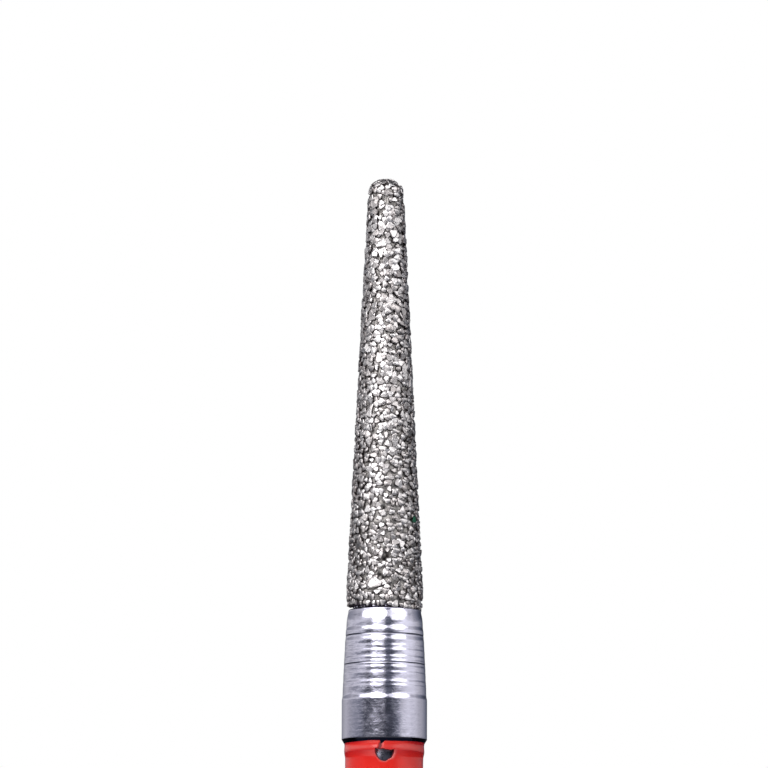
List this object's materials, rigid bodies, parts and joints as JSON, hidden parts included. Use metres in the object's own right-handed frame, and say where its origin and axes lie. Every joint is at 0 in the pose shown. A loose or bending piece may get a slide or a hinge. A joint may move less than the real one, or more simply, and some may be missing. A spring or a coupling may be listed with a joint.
{
  "type": "dental bur",
  "caption": "Tapered dental grinding bur with a round-ended grit-coated head, turned neck, red ring and plain friction grip shank.",
  "frame": {"origin": "centre of the flat end face of the shank, which the chuck takes in first", "axes": "+Z along the bur's axis from the shank's end to the tip; -Y faces the viewer of the picture and carries the chip in the red ring"},
  "size_m": [0.0016, 0.0016, 0.0216],
  "materials": {
    "polished_steel": "turned and polished stainless steel, bright, with fine tool rings on the neck",
    "red_lacquer": "glossy opaque red lacquer, pooled against the groove's flanks, with one chip",
    "diamond_grit": "diamond grit held in electroplated nickel, rough, with bright crystal faces"
  },
  "bodies": {
    "root": {"steel_blank": "polished_steel", "colour_ring": "red_lacquer", "diamond_coat": "diamond_grit"}
  },
  "joints": []
}
